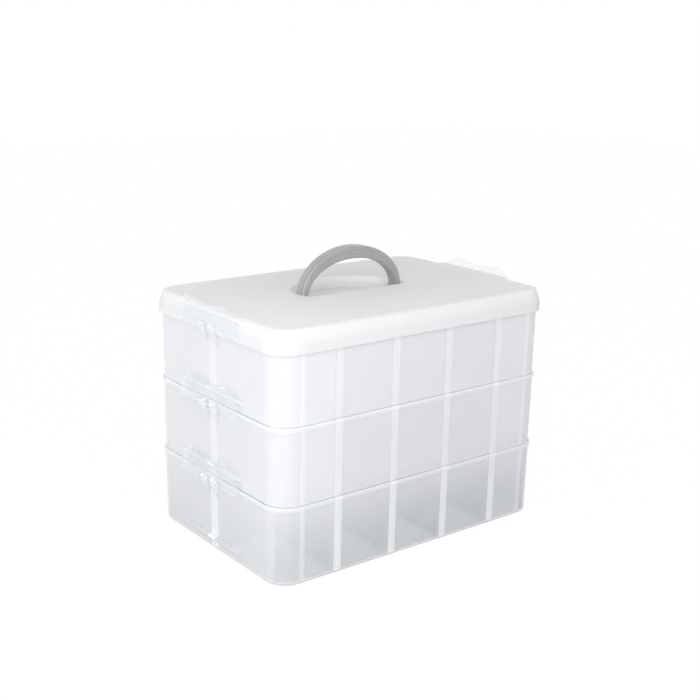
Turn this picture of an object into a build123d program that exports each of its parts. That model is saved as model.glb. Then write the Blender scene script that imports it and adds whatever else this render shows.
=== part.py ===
from build123d import *
import os
from math import atan2, degrees, sqrt

# A box of three stacked trays with slotted dividers, side latches, a lid and a bail handle.
# All sizes are in millimetres. X runs along the box, Y across it and Z up from the floor.

# Lid outline and wall
lid_length = 250.0
lid_depth = 170.0
lid_corner = 20.0
lid_wall = 1.0
lid_panel = 1.8
lid_rise = 9.8
lid_overlap = 6.4
lid_slope_run = 3.5
lid_edge_round = 2.5
lid_fit = 0.3

# Trays
tray_names = ["bottom", "middle", "top"]
tray_pitch = 56.2
tray_wall = 1.6
tray_floor = 1.8
tray_draft = 0.5
tray_edge_round = 2.5
rim_wall = 1.0
rim_drop = 1.0
nest_depth = 1.6
seat_gap = 0.3

# Divider slots
slot_pitch = 49.0
slots_each_side = 2
slot_gap = 2.2
rib_width = 1.9
rib_reach = 4.0
end_rib_width = 2.4
end_rib_reach = 5.0

# Dividers
long_divider_thickness = 1.6
cross_divider_thickness = 1.5
divider_rib_width = 1.2
divider_rib_reach = 3.0
divider_top_gap = 1.3
divider_floor_gap = 0.2
divider_end_gap = 0.4
divider_corner = 3.0

# Latch flaps
latch_width = 72.0
latch_reach = 12.0
latch_plate = 1.6
latch_lip_rise = 6.6
latch_lip_flare = 2.0
latch_shoulder = 12.0
latch_scoop = 3.0
latch_scoop_width = 44.0
latch_gap = 0.3
latch_window_width = 25.0
latch_window_gap = 1.0
hook_bite = 0.5
hook_height = 0.7
hook_back_rise = 0.8
knuckle_radius = 1.9
knuckle_inset = 1.2
hinge_bar_radius = 1.1
hinge_fit = 0.1

# Latch ears and catches on the trays
ear_spacing = 13.0
ear_thickness = 3.0
ear_radius = 2.4
ear_gusset = 10.0
ear_mouth = 1.9
catch_width = 74.0
catch_thickness = 1.6
catch_chamfer = 0.5

# Lid parts inside the rim and round the handle
plug_wall = 1.2
plug_fit = 0.5
seat_ring = 1.4
recess_floor = 1.5
recess_wall = 1.5
recess_corner = 7.0
recess_end_gap = 0.3
recess_front = 12.0
recess_back_gap = 1.0
recess_clearance = 2.7
boss_radius = 4.2
boss_length = 3.6

# Handle
handle_y = 3.5
handle_span = 93.0
handle_rise = 35.6
handle_leg = 0.9
handle_foot_thickness = 5.5
handle_crown_thickness = 9.4
handle_foot_width = 9.0
handle_crown_width = 9.4
handle_edge_round = 1.2
pip_radius = 2.0
pip_length = 2.8
pip_fit = 0.1
handle_floor_gap = 0.3

# How far a cut runs past the face that it opens
cut_margin = 1.0

# Levels and half sizes that follow from the sizes above
seat_z = tray_pitch - seat_gap
rim_top = seat_z + nest_depth
rim_half = Vector(lid_length / 2 - lid_wall - lid_fit, lid_depth / 2 - lid_wall - lid_fit)
rim_corner = lid_corner - lid_wall - lid_fit
wall_top_half = rim_half - Vector(rim_wall, rim_wall)
wall_top_corner = rim_corner - rim_wall
base_corner = wall_top_corner - tray_draft
top_tray_z = (len(tray_names) - 1) * tray_pitch
lid_seat_z = top_tray_z + rim_top + seat_gap
lid_bottom_z = lid_seat_z - lid_overlap
lid_top_z = lid_seat_z + lid_rise
pivot_z = lid_top_z - top_tray_z - latch_reach
catch_z = pivot_z + latch_reach - tray_pitch
catch_edge_x = lid_length / 2 + latch_gap + hook_bite
plate_inner_x = catch_edge_x + latch_gap
pivot_x = plate_inner_x + knuckle_inset
ear_arm_x = lid_length / 2 + latch_gap
ear_arm_z = lid_bottom_z - top_tray_z - latch_gap
slot_places = [slot_pitch * (i + 0.5) for i in range(-slots_each_side, slots_each_side)]
divider_top_z = seat_z - divider_top_gap
divider_bottom_z = tray_floor + divider_floor_gap
recess_floor_z = top_tray_z + divider_top_z + recess_clearance + recess_floor
handle_pivot_z = recess_floor_z + handle_floor_gap + handle_crown_width / 2


def outline(half_x, half_y, corner, z):
    """A rounded rectangle at height z, given by its half sizes."""
    return Pos(0, 0, z) * RectangleRounded(2 * half_x, 2 * half_y, corner)


def ring(outer, inner, height):
    return extrude(outer, amount=height) - extrude(inner, amount=height)


def bar_along_y(points, y_low, y_high):
    """A straight bar whose XZ section has the given corners."""
    section = make_face(Polyline([(x, y_low, z) for x, z in points], close=True))
    return extrude(section, amount=y_high - y_low, dir=(0, 1, 0))


def bar_along_x(points, x_low, x_high):
    """A straight bar whose YZ section has the given corners."""
    section = make_face(Polyline([(x_low, y, z) for y, z in points], close=True))
    return extrude(section, amount=x_high - x_low, dir=(1, 0, 0))


def block(low, high):
    size = Vector(*high) - Vector(*low)
    middle = (Vector(*high) + Vector(*low)) / 2
    return Pos(*middle) * Box(size.X, size.Y, size.Z)


def both_ends(shape):
    """The shape and its half turn about the box's upright axis."""
    return [shape, Rot(0, 0, 180) * shape]


def wall_half(z):
    """Half sizes of a tray's outer wall at height z above its underside."""
    inset = tray_draft * (1 - z / seat_z)
    return wall_top_half - Vector(inset, inset)


def cavity_half(z):
    return wall_half(z) - Vector(tray_wall, tray_wall)


def tray_shell():
    slope = degrees(atan2(tray_draft, seat_z))
    base = wall_half(0)
    shell = extrude(outline(base.X, base.Y, base_corner, 0), amount=seat_z, taper=-slope)
    shell = fillet(shell.faces().sort_by(Axis.Z)[0].edges(), tray_edge_round)
    hollow = cavity_half(tray_floor)
    corner = base_corner - tray_wall + tray_draft * tray_floor / seat_z
    shell -= extrude(outline(hollow.X, hollow.Y, corner, tray_floor), amount=seat_z, taper=-slope)
    rim = ring(
        outline(rim_half.X, rim_half.Y, rim_corner, seat_z - rim_drop),
        outline(wall_top_half.X, wall_top_half.Y, wall_top_corner, seat_z - rim_drop),
        rim_drop + nest_depth,
    )
    band_low = wall_half(seat_z - rim_drop)
    band = ring(
        outline(rim_half.X, rim_half.Y, rim_corner, seat_z - rim_drop),
        outline(band_low.X - tray_wall / 2, band_low.Y - tray_wall / 2, wall_top_corner - tray_wall / 2,
                seat_z - rim_drop),
        rim_drop,
    )
    rim = fillet(rim.edges().group_by(Axis.Z)[-1], rim_wall / 3)
    return shell + rim + band


def slot_ribs():
    """Paired upright ribs that hold the ends of the dividers."""
    low = tray_floor / 2
    ribs = []
    top = cavity_half(seat_z)
    bottom = cavity_half(low)
    root = tray_wall / 2
    side_section = [
        (bottom.Y + root, low), (top.Y + root, seat_z),
        (bottom.Y - rib_reach, seat_z), (bottom.Y - rib_reach, low),
    ]
    for x in slot_places:
        for offset in (-slot_gap / 2 - rib_width, slot_gap / 2):
            rib = bar_along_x(side_section, x + offset, x + offset + rib_width)
            ribs += [rib, mirror(rib, about=Plane.XZ)]
    end_section = [
        (bottom.X + root, low), (top.X + root, seat_z),
        (bottom.X - end_rib_reach, seat_z), (bottom.X - end_rib_reach, low),
    ]
    end_gap = slot_gap + long_divider_thickness - cross_divider_thickness
    for offset in (-end_gap / 2 - end_rib_width, end_gap / 2):
        rib = bar_along_y(end_section, offset, offset + end_rib_width)
        ribs += both_ends(rib)
    return ribs


def catch_ledges(wall, top):
    """The ledges on both ends that a pair of latches hooks over, from a wall at x out to the catch edge."""
    edge = catch_edge_x
    section = [
        (wall, top), (edge - catch_chamfer, top), (edge, top - catch_chamfer),
        (edge, top - catch_thickness), (wall, top - catch_thickness - (edge - wall)),
    ]
    return both_ends(bar_along_y(section, -catch_width / 2, catch_width / 2))


def clip_ears():
    """Open clips for a latch's hinge bar, each on an arm that leaves the short wall under the lid's skirt."""
    wall = wall_half(ear_arm_z).X - tray_wall / 2
    ears = []
    for y in (-ear_spacing / 2, ear_spacing / 2):
        arm = bar_along_y(
            [(wall, ear_arm_z), (ear_arm_x, ear_arm_z), (ear_arm_x, pivot_z), (pivot_x + ear_radius, pivot_z),
             (wall, ear_arm_z - ear_gusset)],
            y - ear_thickness / 2, y + ear_thickness / 2,
        )
        barrel = Pos(pivot_x, y, pivot_z) * Rot(90, 0, 0) * Cylinder(ear_radius, ear_thickness)
        barrel -= block(
            (wall, y - ear_thickness, pivot_z - 2 * ear_radius),
            (ear_arm_x, y + ear_thickness, pivot_z + 2 * ear_radius),
        )
        bore = Pos(pivot_x, y, pivot_z) * Rot(90, 0, 0) * Cylinder(hinge_bar_radius + hinge_fit, 2 * ear_thickness)
        mouth = block(
            (pivot_x, y - ear_thickness, pivot_z - ear_mouth / 2),
            (pivot_x + 2 * ear_radius, y + ear_thickness, pivot_z + ear_mouth / 2),
        )
        ears += both_ends(arm + barrel - bore - mouth)
    return ears


def tray():
    shape = tray_shell()
    for piece in slot_ribs() + catch_ledges(wall_half(catch_z).X - tray_wall / 2, catch_z) + clip_ears():
        shape += piece
    return shape


def long_divider():
    """The wall down the middle of a tray, with rib pairs that take the cross dividers."""
    low = cavity_half(divider_bottom_z).X - divider_end_gap
    high = cavity_half(divider_top_z).X - divider_end_gap
    half = long_divider_thickness / 2
    wall = bar_along_y(
        [(-low, divider_bottom_z), (low, divider_bottom_z), (high, divider_top_z), (-high, divider_top_z)],
        -half, half,
    )
    for x in slot_places:
        for offset in (-slot_gap / 2 - divider_rib_width, slot_gap / 2):
            wall += block(
                (x + offset, -half - divider_rib_reach, divider_bottom_z),
                (x + offset + divider_rib_width, half + divider_rib_reach, divider_top_z),
            )
    return wall


def cross_divider(x):
    """One plate between the long divider and the rear wall, in the slot at x."""
    near = long_divider_thickness / 2 + divider_end_gap
    low = cavity_half(divider_bottom_z).Y - divider_end_gap
    high = cavity_half(divider_top_z).Y - divider_end_gap
    half = cross_divider_thickness / 2
    plate = bar_along_x(
        [(near, divider_bottom_z), (low, divider_bottom_z), (high, divider_top_z), (near, divider_top_z)],
        x - half, x + half,
    )
    return fillet(plate.edges().filter_by(Axis.X).group_by(Axis.Z)[-1], divider_corner)


def latch():
    """A flap on its hinge bar, at the right-hand end of the bottom tray."""
    inner = plate_inner_x
    outer = inner + latch_plate
    catch_top = pivot_z + latch_reach
    tip_x = catch_edge_x - hook_bite
    hook_low = catch_top - catch_chamfer + latch_gap * (sqrt(2) - 1)
    hook_tip = hook_low + inner - tip_x
    lip_start = hook_tip + hook_height + hook_back_rise
    lip_top = catch_top + latch_lip_rise
    section = [
        (inner, pivot_z), (outer, pivot_z), (outer, lip_start - latch_plate / 2),
        (outer + latch_lip_flare, lip_top - latch_plate / 2), (outer + latch_lip_flare - latch_plate / 2, lip_top),
        (inner + latch_lip_flare, lip_top), (inner, lip_start), (tip_x, hook_tip + hook_height),
        (tip_x, hook_tip), (inner, hook_low),
    ]
    half = latch_width / 2
    flap = bar_along_y(section, -half, half)
    axis = Pos(pivot_x, 0, pivot_z) * Rot(90, 0, 0)
    flap += axis * Cylinder(knuckle_radius, latch_width)
    flap -= block(
        (inner - ear_radius, -latch_window_width / 2, pivot_z - ear_radius),
        (outer + ear_radius, latch_window_width / 2, pivot_z + ear_radius + latch_window_gap),
    )
    flap += axis * Cylinder(hinge_bar_radius, latch_width)
    past, above = half + cut_margin, lip_top + cut_margin
    for side in (-1, 1):
        corner = [(side * half, catch_top), (side * past, catch_top), (side * past, above),
                  (side * (half - latch_shoulder), above), (side * (half - latch_shoulder), lip_top)]
        flap -= bar_along_x(corner, inner - latch_lip_flare, outer + 2 * latch_lip_flare)
    scoop_radius = (latch_scoop_width ** 2 / 4 + latch_scoop ** 2) / (2 * latch_scoop)
    scoop = Pos(outer, 0, lip_top - latch_scoop + scoop_radius) * Rot(0, 90, 0)
    flap -= scoop * Cylinder(scoop_radius, 4 * (latch_plate + latch_lip_flare))
    return flap


def lid_shell():
    half_x, half_y = lid_length / 2, lid_depth / 2
    slope = degrees(atan2(lid_slope_run, lid_rise))
    body = extrude(outline(half_x, half_y, lid_corner, lid_bottom_z), amount=lid_overlap)
    top = extrude(outline(half_x, half_y, lid_corner, lid_seat_z), amount=lid_rise, taper=slope)
    top = fillet(top.faces().sort_by(Axis.Z)[-1].edges(), lid_edge_round)
    body += top
    body -= extrude(
        outline(half_x - lid_wall, half_y - lid_wall, lid_corner - lid_wall, lid_bottom_z), amount=lid_overlap
    )
    hollow_rise = lid_rise - lid_panel
    hollow_wall = lid_wall / (lid_rise / sqrt(lid_rise ** 2 + lid_slope_run ** 2))
    body -= extrude(
        outline(half_x - hollow_wall, half_y - hollow_wall, lid_corner - hollow_wall, lid_seat_z),
        amount=hollow_rise, taper=slope,
    )
    return body


def lid_plug():
    """The inner wall that drops into the top tray's rim, and the shelf that rests on the rim."""
    plug_x = wall_top_half.X - plug_fit
    plug_y = wall_top_half.Y - plug_fit
    plug_corner = wall_top_corner - plug_fit
    plug_bottom = lid_seat_z - nest_depth
    wall = ring(
        outline(plug_x, plug_y, plug_corner, plug_bottom),
        outline(plug_x - plug_wall, plug_y - plug_wall, plug_corner - plug_wall, plug_bottom),
        lid_top_z - lid_panel / 2 - plug_bottom,
    )
    shelf = ring(
        outline(lid_length / 2 - lid_wall / 2, lid_depth / 2 - lid_wall / 2, lid_corner - lid_wall / 2, lid_seat_z),
        outline(plug_x - plug_wall / 2, plug_y - plug_wall / 2, plug_corner - plug_wall / 2, lid_seat_z),
        seat_ring,
    )
    return wall + shelf


def lid():
    shape = lid_shell() + lid_plug()
    for ledge in catch_ledges(lid_length / 2 - lid_slope_run - lid_wall / 2, lid_top_z):
        shape += ledge
    return shape + recess_walls() - recess_space()


def arch(half_span, foot, spring, crown):
    """The filled outline of an arch: straight legs with a half ellipse on top."""
    top = EllipticalCenterArc((0, spring), half_span, crown - spring, start_angle=0, arc_size=180)
    feet = Polyline((-half_span, spring), (-half_span, foot), (half_span, foot), (half_span, spring))
    return make_face([top, feet])


def recess_box(margin, z_low, z_high):
    """The room for the folded handle, whose back follows the arch."""
    flat = arch(handle_span / 2 + recess_end_gap + margin, -recess_front - margin, handle_foot_width / 2,
                handle_rise + recess_back_gap + margin)
    flat = fillet(flat.vertices().group_by(Axis.Y)[0], recess_corner + margin)
    return Pos(0, handle_y, z_low) * extrude(flat, amount=z_high - z_low)


def recess_walls():
    """The tub under the panel that the handle folds into, with a boss at each end for its pips."""
    tub = recess_box(recess_wall, recess_floor_z - recess_floor, lid_top_z - lid_panel / 2)
    boss_x = handle_span / 2 + recess_end_gap
    boss = Pos(boss_x + boss_length / 2, 0, handle_pivot_z) * Rot(0, 90, 0) * Cylinder(boss_radius, boss_length)
    boss += block((boss_x, -boss_radius, handle_pivot_z), (boss_x + boss_length, boss_radius, lid_top_z))
    boss -= block((0, -lid_depth, lid_top_z), (lid_length, lid_depth, lid_top_z + 2 * boss_radius))
    for end in both_ends(boss):
        tub += Pos(0, handle_y, 0) * end
    return tub


def recess_space():
    space = recess_box(0, recess_floor_z, lid_top_z + cut_margin)
    bore_length = handle_span + 2 * (recess_end_gap + boss_length + cut_margin)
    return space + Pos(0, handle_y, handle_pivot_z) * Rot(0, 90, 0) * Cylinder(pip_radius + pip_fit, bore_length)


def handle():
    half = handle_span / 2
    spring_z = handle_pivot_z + handle_leg
    crown_z = handle_pivot_z + handle_rise
    band = arch(half, handle_pivot_z, spring_z, crown_z)
    band -= arch(half - handle_foot_thickness, handle_pivot_z, spring_z, crown_z - handle_crown_thickness)
    band = Plane.XZ * band
    solid = extrude(band, amount=handle_crown_width, both=True)
    edge_rear = ThreePointArc((-half, handle_foot_width / 2), (0, handle_crown_width / 2),
                              (half, handle_foot_width / 2))
    edge_front = ThreePointArc((half, -handle_foot_width / 2), (0, -handle_crown_width / 2),
                               (-half, -handle_foot_width / 2))
    ends = [Line(edge_rear @ 1, edge_front @ 0), Line(edge_front @ 1, edge_rear @ 0)]
    plan = Pos(0, 0, handle_pivot_z) * make_face([edge_rear, ends[0], edge_front, ends[1]])
    solid &= extrude(plan, amount=2 * handle_rise)
    solid = fillet(solid.edges().filter_by(lambda edge: edge.center().Z > handle_pivot_z + handle_leg / 4),
                   handle_edge_round)
    foot_x = half - handle_foot_thickness / 2
    eye = Pos(foot_x, 0, handle_pivot_z) * Rot(0, 90, 0) * Cylinder(handle_foot_width / 2, handle_foot_thickness)
    pip = Pos(half + pip_length / 2, 0, handle_pivot_z) * Rot(0, 90, 0) * Cylinder(pip_radius, pip_length)
    for end in both_ends(eye + pip):
        solid += end
    return Pos(0, handle_y, 0) * solid


os.makedirs("parts", exist_ok=True)


def write(name, shape):
    export_step(shape, os.path.join("parts", name + ".step"))


one_tray = tray()
one_long_divider = long_divider()
one_latch = latch()
cross_dividers = [cross_divider(x) for x in slot_places]
for number, name in enumerate(tray_names):
    lift = Pos(0, 0, number * tray_pitch)
    write(name + "_tray", lift * one_tray)
    write(name + "_long_divider", lift * one_long_divider)
    write(name + "_latch_right", lift * one_latch)
    write(name + "_latch_left", lift * Rot(0, 0, 180) * one_latch)
    for place, plate in enumerate(cross_dividers, 1):
        write(f"{name}_rear_divider_{place}", lift * plate)
        write(f"{name}_front_divider_{place}", lift * mirror(plate, about=Plane.XZ))
write("lid", lid())
write("handle", handle())
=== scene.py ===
import bpy
from math import cos, radians, sin
from mathutils import Matrix, Vector

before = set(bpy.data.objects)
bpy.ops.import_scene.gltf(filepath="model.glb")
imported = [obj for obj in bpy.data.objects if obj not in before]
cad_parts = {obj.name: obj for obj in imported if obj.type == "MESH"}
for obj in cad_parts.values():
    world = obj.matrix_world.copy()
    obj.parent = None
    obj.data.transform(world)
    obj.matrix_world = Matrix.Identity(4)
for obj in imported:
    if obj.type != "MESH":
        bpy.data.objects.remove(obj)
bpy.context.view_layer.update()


# Camera, on the side and at the height that the picture was taken from

camera = {
    "place": (-0.52501, -0.67131, 0.36498),
    "turn": 37.96,    # degrees from +Y towards +X
    "dip": 15.32,
    "roll": 1.03,
    "lens": 59.72,    # millimetres, for the sensor's width
    "sensor": 36,
    "nearest": 0.01,
}


def makeCamera(look):
    turn, dip, roll = (radians(look[name]) for name in ("turn", "dip", "roll"))
    ahead = Vector((sin(turn) * cos(dip), cos(turn) * cos(dip), -sin(dip)))
    level = Vector((cos(turn), -sin(turn), 0))
    upright = level.cross(ahead)
    right = cos(roll) * level + sin(roll) * upright
    up = -sin(roll) * level + cos(roll) * upright
    data = bpy.data.cameras.new("camera")
    data.lens, data.sensor_width, data.clip_start = look["lens"], look["sensor"], look["nearest"]
    made = bpy.data.objects.new("camera", data)
    axes = Matrix((right, up, -ahead)).transposed().to_4x4()
    made.matrix_world = Matrix.Translation(look["place"]) @ axes
    bpy.context.scene.collection.objects.link(made)
    bpy.context.scene.camera = made


makeCamera(camera)


# Shader maths: a wire is the output of one node, and adds the next node when it is used in a sum

class Wire:
    def __init__(self, finish, socket):
        self.finish, self.socket = finish, socket

    def maths(self, operation, first, second=0.0):
        return self.finish.maths(operation, first, second)

    def __add__(self, other):
        return self.maths("ADD", self, other)

    def __sub__(self, other):
        return self.maths("SUBTRACT", self, other)

    def __rsub__(self, other):
        return self.maths("SUBTRACT", other, self)

    def __mul__(self, other):
        return self.maths("MULTIPLY", self, other)

    def __mod__(self, other):
        return self.maths("MODULO", self, other)

    def __abs__(self):
        return self.maths("ABSOLUTE", self)

    def __or__(self, other):
        return self.maths("MAXIMUM", self, other)

    __radd__ = __add__
    __rmul__ = __mul__


class Finish:    # the nodes of one material, or of the world where that is given
    def __init__(self, name, owner=None):
        self.material = owner or bpy.data.materials.new(name)
        self.material.use_nodes = True
        self.tree = self.material.node_tree
        self.tree.nodes.clear()

    def node(self, kind, settings=None, sockets=None, give=0):
        made = self.tree.nodes.new("ShaderNode" + kind)
        for name, value in (settings or {}).items():
            setattr(made, name, value)
        for name, value in (sockets or {}).items():
            if isinstance(value, Wire):
                self.tree.links.new(value.socket, made.inputs[name])
            else:
                made.inputs[name].default_value = value
        if not made.outputs:
            return None
        if give == "all":
            return [Wire(self, socket) for socket in made.outputs]
        return Wire(self, made.outputs[give])

    def maths(self, operation, first, second=0.0):
        return self.node("Math", {"operation": operation}, {0: first, 1: second})

    def place(self):
        return self.node("TexCoord", give="Object")

    def xyz(self):
        return self.node("SeparateXYZ", {}, {0: self.place()}, "all")

    def noise(self, size, detail, rough, stretch=(1, 1, 1)):    # size is that of one patch, in metres
        at = self.node("Mapping", {}, {0: self.place(), "Scale": stretch})
        return self.node("TexNoise", {}, {"Vector": at, "Scale": 1 / size, "Detail": detail, "Roughness": rough})

    def within(self, value, half, soft):    # 1 up to half from zero, fading to 0 over soft
        return self.node("MapRange", {"interpolation_type": "SMOOTHSTEP"}, {
            "Value": abs(value), "From Min": half, "From Max": half + soft, "To Min": 1.0, "To Max": 0.0,
        })

    def blend(self, share, first, second):    # 6, 7 and 2 are the Mix node's sockets for colours
        return self.node("Mix", {"data_type": "RGBA"}, {0: share, 6: first, 7: second}, give=2)

    def between(self, value, low, high):
        return low + value * (high - low)

    def bump(self, height, depth, strength):
        return self.node("Bump", {}, {"Height": height, "Distance": depth, "Strength": strength})

    def surface(self, shader):
        self.node("OutputMaterial", {}, {"Surface": shader})
        return self.material


# Moulded milky plastic. Thick places, such as ribs and rims, are whiter and less clear than the thin walls. The
# walls are painted darker low on the box, as painted shade.
# Solid is how much of a thin wall at the foot, of one at the top and of a thick place hides what is behind it.
# All lengths are in metres.

milky = {
    "tray": {"foot": (0.66, 0.675, 0.70, 1), "top": (0.93, 0.935, 0.945, 1), "thick": (0.94, 0.945, 0.955, 1),
             "solid": (0.38, 0.72, 0.90)},
    "divider": {"foot": (0.70, 0.715, 0.74, 1), "top": (0.92, 0.925, 0.935, 1), "thick": (0.94, 0.945, 0.955, 1),
                "solid": (0.38, 0.60, 0.75)},
    "lid": {"foot": (0.94, 0.945, 0.95, 1), "top": (0.94, 0.945, 0.95, 1), "thick": (0.89, 0.895, 0.90, 1),
            "solid": (0.82, 0.82, 0.92)},
    "latch": {"foot": (0.84, 0.85, 0.87, 1), "top": (0.95, 0.955, 0.96, 1), "thick": (0.95, 0.955, 0.96, 1),
              "solid": (0.13, 0.20, 0.42)},
    "roughness": (0.50, 0.64),
    "ior": 1.49,
    "paintedShadeHeight": 0.075,  # painted shade: the walls are darker at the floor and get whiter up to this height
    "rise": (0.0, 0.94),  # from the finish at the foot, darkened with painted shade, towards the one at the top
    "endWall": 0.119,     # the short walls lie past this, and have less of the clear foot and of its painted shade
    "endFade": 0.002,
    "endMilkAndLessShade": 0.55,
    "glow": 0.45,         # share of light that goes through a wall instead of off it
    "clear": (0.98, 0.99, 1.0, 1),
    "contactShadow": (0.25, 0.25, 0.26, 1),    # painted contact shadow: a dark line where the box meets the floor
    "contactShadowHalf": (0.0010, 0.0010),
    "contactShadowShare": 0.8,
    "cloud": (0.045, 3.0, 0.55),                # size of one patch, detail and roughness of the noise
    "flow": (0.006, 2.0, 0.5, (1, 1, 0.25)),    # the same, and how it is stretched
    "grain": (0.0007, 2.0, 0.6),
    "cloudiness": 0.06,
    "cloudShare": 0.7, "flowShare": 0.3,
    "flowRelief": 2.0,                          # the flow's share of the relief, where the grain's is 1
    "relief": (0.00002, 0.5),                   # depth and strength
}

# Thick places, each with its half width and its soft edge. The band where a long wall turns into its corner is a
# painted reflection.

thick = {
    "pitch": 0.0562,         # from tray to tray
    "slotPitch": 0.049,
    "endsPast": (0.100, 0.001),
    "slotRibs": (0.0028, 0.0008),
    "endRibs": (0.0044, 0.0008),
    "foot": (0.0022, 0.002), "footShare": 0.3,
    "rim": (0.0019, 0.0005), "rimShare": 0.35,
    "turn": (0.0015, 0.0010), "cornerReflectionPlace": 0.1036, "cornerReflectionShare": 0.5,    # painted reflection: a whiter band where a long wall turns into its corner
    "longWallPast": (0.076, 0.001),
    "dividerTop": (0.0018, 0.0008), "dividerTopHeight": 0.0535, "dividerTopShare": 0.8,
    "panel": (0.0008, 0.002), "panelHeight": 0.1800,
    "latchHook": (0.0010, 0.001), "latchHookHeight": 0.0190,
}


def thickPlaces(finish, kind, look):
    x, y, z = finish.xyz()
    if kind == "lid":
        return 1 - finish.within(z - look["panelHeight"], *look["panel"])
    height = z % look["pitch"]
    if kind == "divider":
        return finish.within(height - look["dividerTopHeight"], *look["dividerTop"]) * look["dividerTopShare"]
    if kind == "latch":
        return finish.within(height - look["latchHookHeight"], *look["latchHook"])
    ends = 1 - finish.within(x, *look["endsPast"])
    slotRibs = finish.within((abs(x) % look["slotPitch"]) - look["slotPitch"] / 2, *look["slotRibs"])
    endRibs = finish.within(y, *look["endRibs"])
    ribs = finish.node("Mix", {}, {0: ends, 2: slotRibs, 3: endRibs})    # 2 and 3 are its sockets for numbers
    foot = finish.within(height, *look["foot"])
    rim = finish.within(height - look["pitch"], *look["rim"])
    longWall = 1 - finish.within(y, *look["longWallPast"])
    # painted reflection: a whiter, less clear band where the long walls turn into their corners
    turn = finish.within(abs(x) - look["cornerReflectionPlace"], *look["turn"]) * longWall
    return ribs | (foot * look["footShare"]) | (rim * look["rimShare"]) | (turn * look["cornerReflectionShare"])


def makeMilky(kind):
    look = milky[kind]
    finish = Finish("milky_" + kind)
    ribs = thickPlaces(finish, kind, thick)
    cloud, flow, grain = (finish.noise(*milky[name]) for name in ("cloud", "flow", "grain"))
    marks = cloud * milky["cloudShare"] + flow * milky["flowShare"]
    mark = finish.between(marks, -milky["cloudiness"], milky["cloudiness"])

    # rise is 0 for the finish at the foot of the box, darkened with painted shade, and 1 for the one at the top
    x, _, z = finish.xyz()
    lowest, highest = milky["rise"]
    # painted shade: the walls are darker near the floor and whiter higher up
    paintedShadeLift = finish.node("MapRange", {"interpolation_type": "SMOOTHSTEP"}, {
        "Value": z, "From Min": 0.0, "From Max": milky["paintedShadeHeight"], "To Min": lowest, "To Max": highest,
    })
    # the short walls get less of the painted shade at the foot
    endWall = 1 - finish.within(x, milky["endWall"], milky["endFade"])
    rise = mark + paintedShadeLift + (highest - paintedShadeLift) * endWall * milky["endMilkAndLessShade"]

    foot, top, full = look["solid"]
    thin = finish.between(rise, foot, top)
    solid = thin + (full - thin) * ribs
    wall = finish.blend(rise, look["foot"], look["top"])
    # painted contact shadow along the bottom edge of the box
    contactShadow = finish.within(z, *milky["contactShadowHalf"]) * milky["contactShadowShare"]
    relief = finish.bump(grain + flow * milky["flowRelief"], *milky["relief"])
    body = finish.node("BsdfPrincipled", {}, {
        "Base Color": finish.blend(contactShadow, finish.blend(ribs, wall, look["thick"]), milky["contactShadow"]),
        "Roughness": finish.between(cloud, *milky["roughness"]),
        "IOR": milky["ior"],
        "Alpha": solid,
        "Normal": relief,
    })
    through = finish.node("BsdfTranslucent", {}, {"Color": look["thick"], "Normal": relief})
    clear = finish.node("BsdfTransparent", {}, {"Color": milky["clear"]})
    haze = finish.node("MixShader", {}, {0: solid, 1: clear, 2: through})
    return finish.surface(finish.node("MixShader", {}, {0: milky["glow"], 1: body, 2: haze}))


def dress(obj, material):
    for slot in obj.material_slots:
        slot.material = material


milkyFinish = {kind: makeMilky(kind) for kind in ("tray", "divider", "lid", "latch")}


# Grey moulded plastic of the handle

handleLook = {
    "grey": (0.07, 0.072, 0.076, 1),
    "worn": (0.56, 0.565, 0.57, 1),
    "roughness": (0.24, 0.36),
    "ior": 1.49,
    "patch": (0.02, 3.0, 0.6),       # size, detail and roughness of the noise, as above
    "grain": (0.0005, 2.0, 0.6),
    "shares": (0.15, 0.10, 0.60),    # of patches, grain and streaks in the colour
    "relief": (0.00002, 0.4),
    "centre": 0.1771,                # height of the arch's own centre
    "reach": (0.0465, 0.0347),       # half its span, and its rise over that centre
    "streaks": 55.0,                 # from the middle of the arch out to its edge
    "lean": 12.0,                    # how far the streaks shift from the front face to the back one
}


def makeHandleGrey(look):
    finish = Finish("grey_handle")
    patch, grain = (finish.noise(*look[name]) for name in ("patch", "grain"))
    x, y, z = finish.xyz()
    reachX, reachZ = look["reach"]
    along, up = x * (1 / reachX), (z - look["centre"]) * (1 / reachZ)
    ring = finish.maths("POWER", along * along + up * up, 0.5)
    streak = finish.node("TexNoise", {"noise_dimensions": "1D"}, {
        "W": ring + y * look["lean"], "Scale": look["streaks"],
    })
    patches, grains, streaks = look["shares"]
    shade = patch * patches + grain * grains + streak * streaks
    return finish.surface(finish.node("BsdfPrincipled", {}, {
        "Base Color": finish.blend(shade, look["grey"], look["worn"]),
        "Roughness": finish.between(patch, *look["roughness"]),
        "IOR": look["ior"],
        "Normal": finish.bump(grain, *look["relief"]),
    }))


handleFinish = makeHandleGrey(handleLook)

for name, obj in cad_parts.items():
    kinds = [kind for kind in milkyFinish if kind in name]
    dress(obj, milkyFinish[kinds[0]] if kinds else handleFinish)
print("finishes on every piece")


# Floor, light and background

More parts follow.
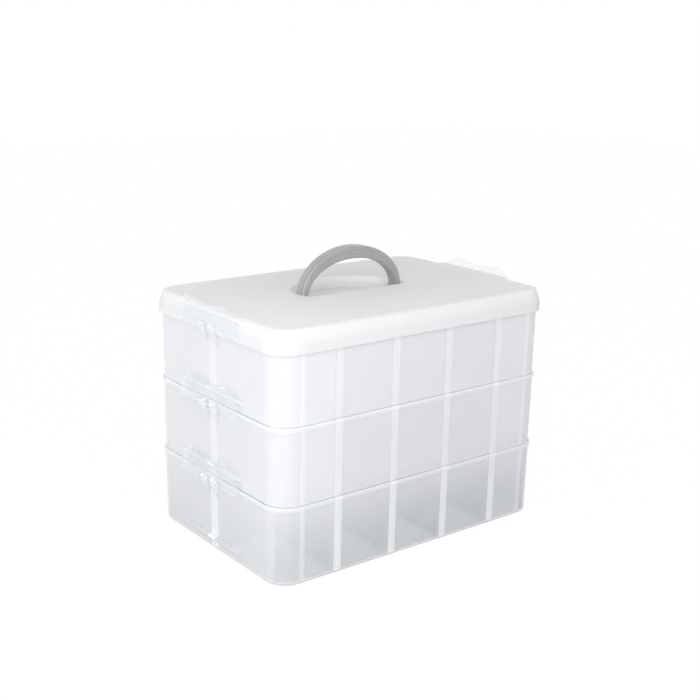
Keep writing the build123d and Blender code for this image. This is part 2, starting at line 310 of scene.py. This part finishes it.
studio = {
    "floor": 6.0,          # metres across
    "floorColour": (0.45, 0.455, 0.46, 1),
    "floorWhite": 0.97,    # share of plain white in what the camera sees of the floor
    "floorGlow": 1.015,    # its strength, which brings the floor up to the white behind it
    "sky": 0.88,           # its strength as a light
    "aim": (0, 0, 0.09),   # what the lamps point at, the middle of the box
    "lamps": {             # place, width in metres and power in watts
        "front": ((-0.30, -0.60, 0.40), 0.6, 3.5),
        "left": ((-0.85, 0.08, 0.20), 0.4, 2.7),
    },
}


def seenDirectly(finish):    # 1 for what the camera sees, also through the plastic or mirrored in it
    straight, mirrored, through = (finish.node("LightPath", give="Is %s Ray" % kind)
                                   for kind in ("Camera", "Glossy", "Transmission"))
    return finish.node("Clamp", {}, {"Value": straight + mirrored + through})


def makeFloor(look):
    half = look["floor"] / 2
    mesh = bpy.data.meshes.new("floor")
    mesh.from_pydata([(-half, -half, 0), (half, -half, 0), (half, half, 0), (-half, half, 0)], [], [(0, 1, 2, 3)])
    floor = bpy.data.objects.new("floor", mesh)
    bpy.context.scene.collection.objects.link(floor)
    finish = Finish("pale_floor")
    base = finish.node("BsdfDiffuse", {}, {"Color": look["floorColour"]})
    white = finish.node("Emission", {}, {"Color": (1, 1, 1, 1), "Strength": look["floorGlow"]})
    mesh.materials.append(finish.surface(finish.node("MixShader", {}, {
        0: seenDirectly(finish) * look["floorWhite"], 1: base, 2: white,
    })))


def makeSky(look):
    world = bpy.data.worlds.new("studio")
    bpy.context.scene.world = world
    sky = Finish("studio", world)
    strength = sky.between(seenDirectly(sky), look["sky"], 1.0)
    back = sky.node("Background", {}, {"Color": (1, 1, 1, 1), "Strength": strength})
    sky.node("OutputWorld", {}, {"Surface": back})


def makeLamp(name, aim, place, size, power):    # a round soft lamp
    data = bpy.data.lights.new(name, "AREA")
    data.shape, data.size, data.energy = "DISK", size, power
    lamp = bpy.data.objects.new(name, data)
    towards = Vector(aim) - Vector(place)
    lamp.location = place
    lamp.rotation_euler = towards.to_track_quat("-Z", "Y").to_euler()
    bpy.context.scene.collection.objects.link(lamp)


makeFloor(studio)
makeSky(studio)
for name, lamp in studio["lamps"].items():
    makeLamp(name, studio["aim"], *lamp)
bpy.context.scene.view_settings.view_transform = "Standard"
print("studio: floor, sky and %d lamps" % len(studio["lamps"]))
